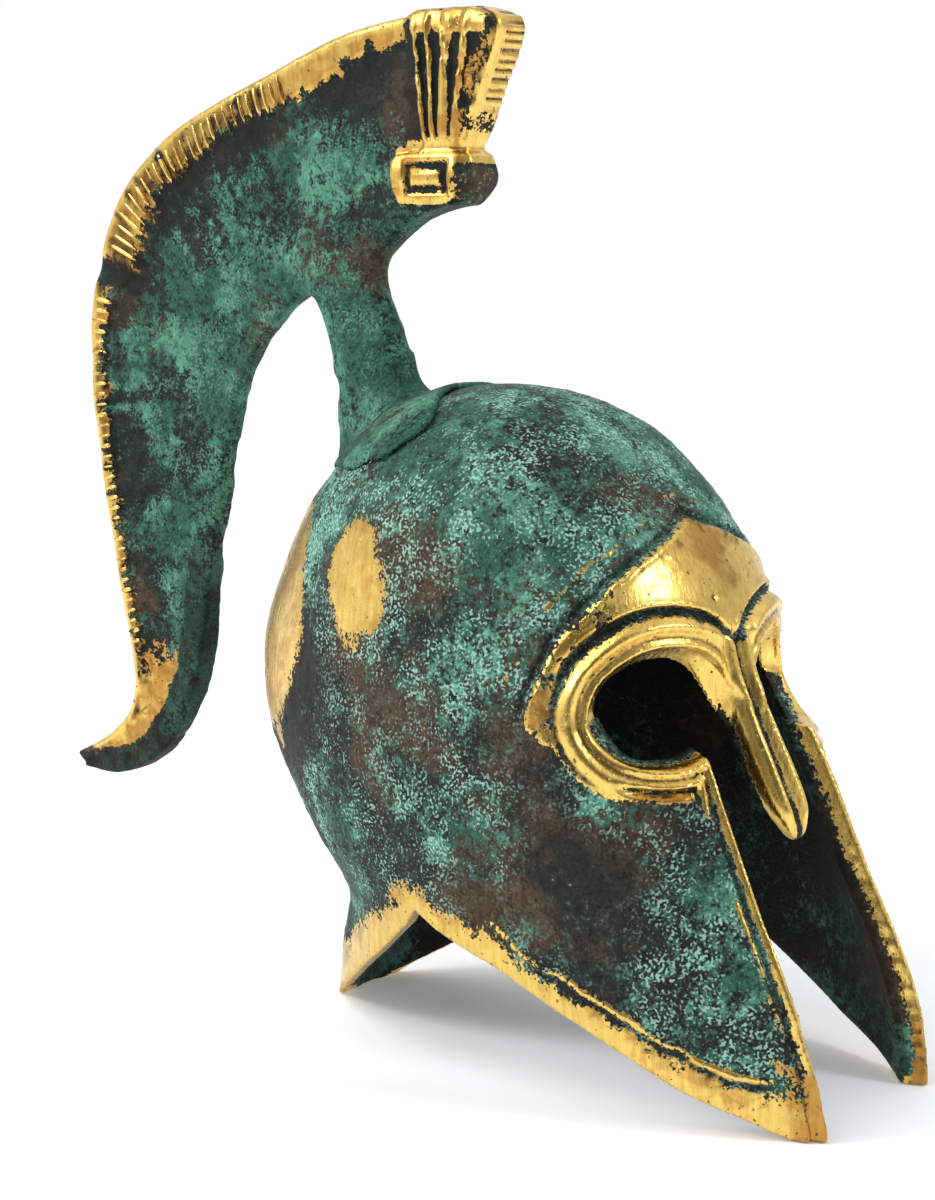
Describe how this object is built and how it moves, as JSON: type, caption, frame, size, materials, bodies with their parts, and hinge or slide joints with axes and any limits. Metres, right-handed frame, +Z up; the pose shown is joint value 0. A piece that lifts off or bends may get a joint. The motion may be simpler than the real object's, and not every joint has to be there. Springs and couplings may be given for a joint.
{
  "type": "corinthian helmet",
  "caption": "Hollow cast bronze desk miniature of a corinthian helmet: almond eye holes, nasal guard, long cheek guards and a high swept-back crest on a stem.",
  "frame": {"origin": "on the surface it rests on, under the middle of the whole object's box", "axes": "+Z up, the face looks along -Y, +X is the wearer's left"},
  "size_m": [0.0364, 0.0942, 0.09],
  "materials": {
    "shell_bronze": "cast bronze, dark brown and green patina with pale green specks, rubbed bright on rims, brow, nasal guard and lower edges",
    "crest_bronze": "cast bronze with a thick green patina, filed bright along the outer band, the front lock and the tip of the tail"
  },
  "bodies": {
    "root": {"helmet_shell": "shell_bronze", "crest_on_stem": "crest_bronze"}
  },
  "joints": []
}
